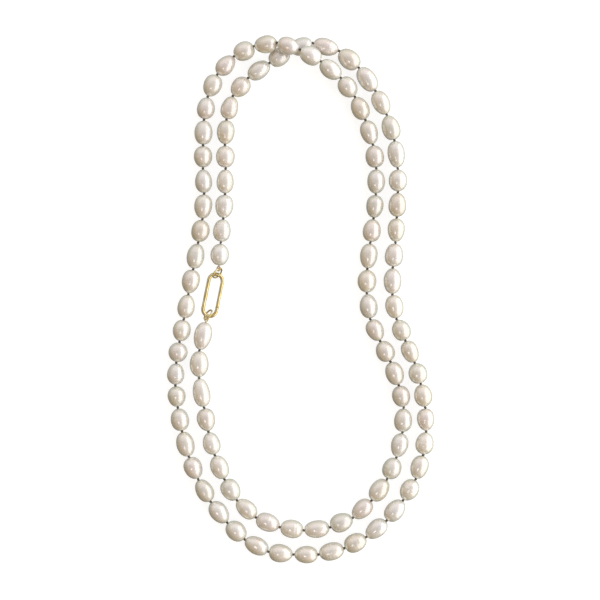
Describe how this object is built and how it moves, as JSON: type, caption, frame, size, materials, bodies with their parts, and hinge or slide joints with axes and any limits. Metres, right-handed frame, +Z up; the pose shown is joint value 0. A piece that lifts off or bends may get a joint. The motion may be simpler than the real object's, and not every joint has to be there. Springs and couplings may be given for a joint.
{
  "type": "pearl necklace",
  "caption": "Long rope of oval freshwater pearls on hand-knotted silk, laid doubled, closed by an oval gold link with a hinged gate.",
  "frame": {"origin": "centre of the laid necklace's footprint, on the surface it lies on", "axes": "+Y along the laid length towards the crossing of the two loops; +Z up from the surface; the clasp is on the -X side"},
  "size_m": [0.1118, 0.2205, 0.0139],
  "materials": {
    "pearl": "gloss",
    "silk": "matte",
    "gold": "polished",
    "bullion_wire": "polished",
    "spring_wire": "satin"
  },
  "bodies": {
    "outer_bottom": {"pearls_outer_bottom": "pearl", "silk_outer_bottom": "silk"},
    "outer_left_1": {"pearls_outer_left_1": "pearl", "silk_outer_left_1": "silk"},
    "outer_left_2": {"pearls_outer_left_2": "pearl", "silk_outer_left_2": "silk"},
    "outer_left_3": {"pearls_outer_left_3": "pearl", "silk_outer_left_3": "silk"},
    "outer_left_4": {"pearls_outer_left_4": "pearl", "silk_outer_left_4": "silk"},
    "top_over": {"pearls_top_over_right": "pearl", "pearls_top_over_left": "pearl", "silk_top_over_right": "silk", "silk_top_over_left": "silk"},
    "inner_right_4": {"pearls_inner_right_4": "pearl", "silk_inner_right_4": "silk"},
    "inner_right_3": {"pearls_inner_right_3": "pearl", "silk_inner_right_3": "silk"},
    "inner_right_2": {"pearls_inner_right_2": "pearl", "silk_inner_right_2": "silk"},
    "inner_right_1": {"pearls_inner_right_1": "pearl", "silk_inner_right_1": "silk"},
    "inner_bottom": {"pearls_inner_bottom": "pearl", "silk_inner_bottom": "silk"},
    "inner_left_1": {"pearls_inner_left_1": "pearl", "silk_inner_left_1": "silk"},
    "inner_left_2": {"pearls_inner_left_2": "pearl", "silk_inner_left_2": "silk", "lower_bullion": "bullion_wire"},
    "outer_right_1": {"pearls_outer_right_1": "pearl", "silk_outer_right_1": "silk"},
    "outer_right_2": {"pearls_outer_right_2": "pearl", "silk_outer_right_2": "silk"},
    "outer_right_3": {"pearls_outer_right_3": "pearl", "silk_outer_right_3": "silk"},
    "outer_right_4": {"pearls_outer_right_4": "pearl", "silk_outer_right_4": "silk"},
    "top_under": {"pearls_top_under_right": "pearl", "pearls_top_under_left": "pearl", "silk_top_under_right": "silk", "silk_top_under_left": "silk"},
    "inner_left_4": {"pearls_inner_left_4": "pearl", "silk_inner_left_4": "silk"},
    "clasp": {"pearls_clasp_side": "pearl", "silk_clasp_side": "silk", "clasp_link": "gold", "gate_pin": "gold", "upper_bullion": "bullion_wire"},
    "gate": {"clasp_gate": "gold", "gate_spring": "spring_wire"},
    "upper_ring": {"upper_jump_ring": "gold"},
    "lower_ring": {"lower_jump_ring": "gold"}
  },
  "joints": [
    {"name": "fold_1", "type": "hinge", "parent": "outer_bottom", "child": "outer_left_1", "pos_m": [0, -0.075, 0.00398], "axis": [1, 0, 0], "range_deg": [0, 45]},
    {"name": "fold_2", "type": "hinge", "parent": "outer_left_1", "child": "outer_left_2", "pos_m": [0, -0.045, 0.00398], "axis": [1, 0, 0], "range_deg": [0, 45]},
    {"name": "fold_3", "type": "hinge", "parent": "outer_left_2", "child": "outer_left_3", "pos_m": [0, -0.008, 0.00398], "axis": [1, 0, 0], "range_deg": [0, 45]},
    {"name": "fold_4", "type": "hinge", "parent": "outer_left_3", "child": "outer_left_4", "pos_m": [0, 0.024, 0.00398], "axis": [1, 0, 0], "range_deg": [0, 45]},
    {"name": "fold_5", "type": "hinge", "parent": "outer_left_4", "child": "top_over", "pos_m": [0, 0.055, 0.00398], "axis": [1, 0, 0], "range_deg": [0, 45]},
    {"name": "fold_5_inner_right_4", "type": "hinge", "parent": "top_over", "child": "inner_right_4", "pos_m": [0, 0.055, 0.00398], "axis": [-1, 0, 0], "range_deg": [0, 45]},
    {"name": "fold_4_inner_right_3", "type": "hinge", "parent": "inner_right_4", "child": "inner_right_3", "pos_m": [0, 0.024, 0.00398], "axis": [-1, 0, 0], "range_deg": [0, 45]},
    {"name": "fold_3_inner_right_2", "type": "hinge", "parent": "inner_right_3", "child": "inner_right_2", "pos_m": [0, -0.008, 0.00398], "axis": [-1, 0, 0], "range_deg": [0, 45]},
    {"name": "fold_2_inner_right_1", "type": "hinge", "parent": "inner_right_2", "child": "inner_right_1", "pos_m": [0, -0.045, 0.00398], "axis": [-1, 0, 0], "range_deg": [0, 45]},
    {"name": "fold_1_inner_bottom", "type": "hinge", "parent": "inner_right_1", "child": "inner_bottom", "pos_m": [0, -0.075, 0.00398], "axis": [-1, 0, 0], "range_deg": [0, 45]},
    {"name": "fold_1_inner_left_1", "type": "hinge", "parent": "inner_bottom", "child": "inner_left_1", "pos_m": [0, -0.075, 0.00398], "axis": [1, 0, 0], "range_deg": [0, 45]},
    {"name": "fold_2_inner_left_2", "type": "hinge", "parent": "inner_left_1", "child": "inner_left_2", "pos_m": [0, -0.045, 0.00398], "axis": [1, 0, 0], "range_deg": [0, 45]},
    {"name": "fold_1_outer_right_1", "type": "hinge", "parent": "outer_bottom", "child": "outer_right_1", "pos_m": [0, -0.075, 0.00398], "axis": [1, 0, 0], "range_deg": [0, 45]},
    {"name": "fold_2_outer_right_2", "type": "hinge", "parent": "outer_right_1", "child": "outer_right_2", "pos_m": [0, -0.045, 0.00398], "axis": [1, 0, 0], "range_deg": [0, 45]},
    {"name": "fold_3_outer_right_3", "type": "hinge", "parent": "outer_right_2", "child": "outer_right_3", "pos_m": [0, -0.008, 0.00398], "axis": [1, 0, 0], "range_deg": [0, 45]},
    {"name": "fold_4_outer_right_4", "type": "hinge", "parent": "outer_right_3", "child": "outer_right_4", "pos_m": [0, 0.024, 0.00398], "axis": [1, 0, 0], "range_deg": [0, 45]},
    {"name": "fold_5_top_under", "type": "hinge", "parent": "outer_right_4", "child": "top_under", "pos_m": [0, 0.055, 0.00398], "axis": [1, 0, 0], "range_deg": [0, 45]},
    {"name": "fold_5_inner_left_4", "type": "hinge", "parent": "top_under", "child": "inner_left_4", "pos_m": [0, 0.055, 0.00398], "axis": [-1, 0, 0], "range_deg": [0, 45]},
    {"name": "fold_4_clasp", "type": "hinge", "parent": "inner_left_4", "child": "clasp", "pos_m": [0, 0.024, 0.00398], "axis": [-1, 0, 0], "range_deg": [0, 45]},
    {"name": "gate_hinge", "type": "hinge", "parent": "clasp", "child": "gate", "pos_m": [-0.03524, -0.00366, 0.00215], "axis": [0, 0, 1], "range_deg": [0, 20], "stiffness_Nm_per_rad": 0.01, "springref_deg": -11.46},
    {"name": "upper_ring_spin", "type": "hinge", "parent": "clasp", "child": "upper_ring", "pos_m": [-0.03497, 0.01133, 0.00263], "axis": [0.6749, -0.5738, 0.464], "continuous": true},
    {"name": "lower_ring_spin", "type": "hinge", "parent": "clasp", "child": "lower_ring", "pos_m": [-0.03893, -0.00623, 0.00263], "axis": [-0.7328, 0.5471, 0.4045], "continuous": true}
  ],
  "couplings": [
    {"joint": "fold_5_inner_right_4", "follows": "fold_5", "ratio": 1},
    {"joint": "fold_4_inner_right_3", "follows": "fold_4", "ratio": 1},
    {"joint": "fold_3_inner_right_2", "follows": "fold_3", "ratio": 1},
    {"joint": "fold_2_inner_right_1", "follows": "fold_2", "ratio": 1},
    {"joint": "fold_1_inner_bottom", "follows": "fold_1", "ratio": 1},
    {"joint": "fold_1_inner_left_1", "follows": "fold_1", "ratio": 1},
    {"joint": "fold_2_inner_left_2", "follows": "fold_2", "ratio": 1},
    {"joint": "fold_1_outer_right_1", "follows": "fold_1", "ratio": 1},
    {"joint": "fold_2_outer_right_2", "follows": "fold_2", "ratio": 1},
    {"joint": "fold_3_outer_right_3", "follows": "fold_3", "ratio": 1},
    {"joint": "fold_4_outer_right_4", "follows": "fold_4", "ratio": 1},
    {"joint": "fold_5_top_under", "follows": "fold_5", "ratio": 1},
    {"joint": "fold_5_inner_left_4", "follows": "fold_5", "ratio": 1},
    {"joint": "fold_4_clasp", "follows": "fold_4", "ratio": 1}
  ]
}
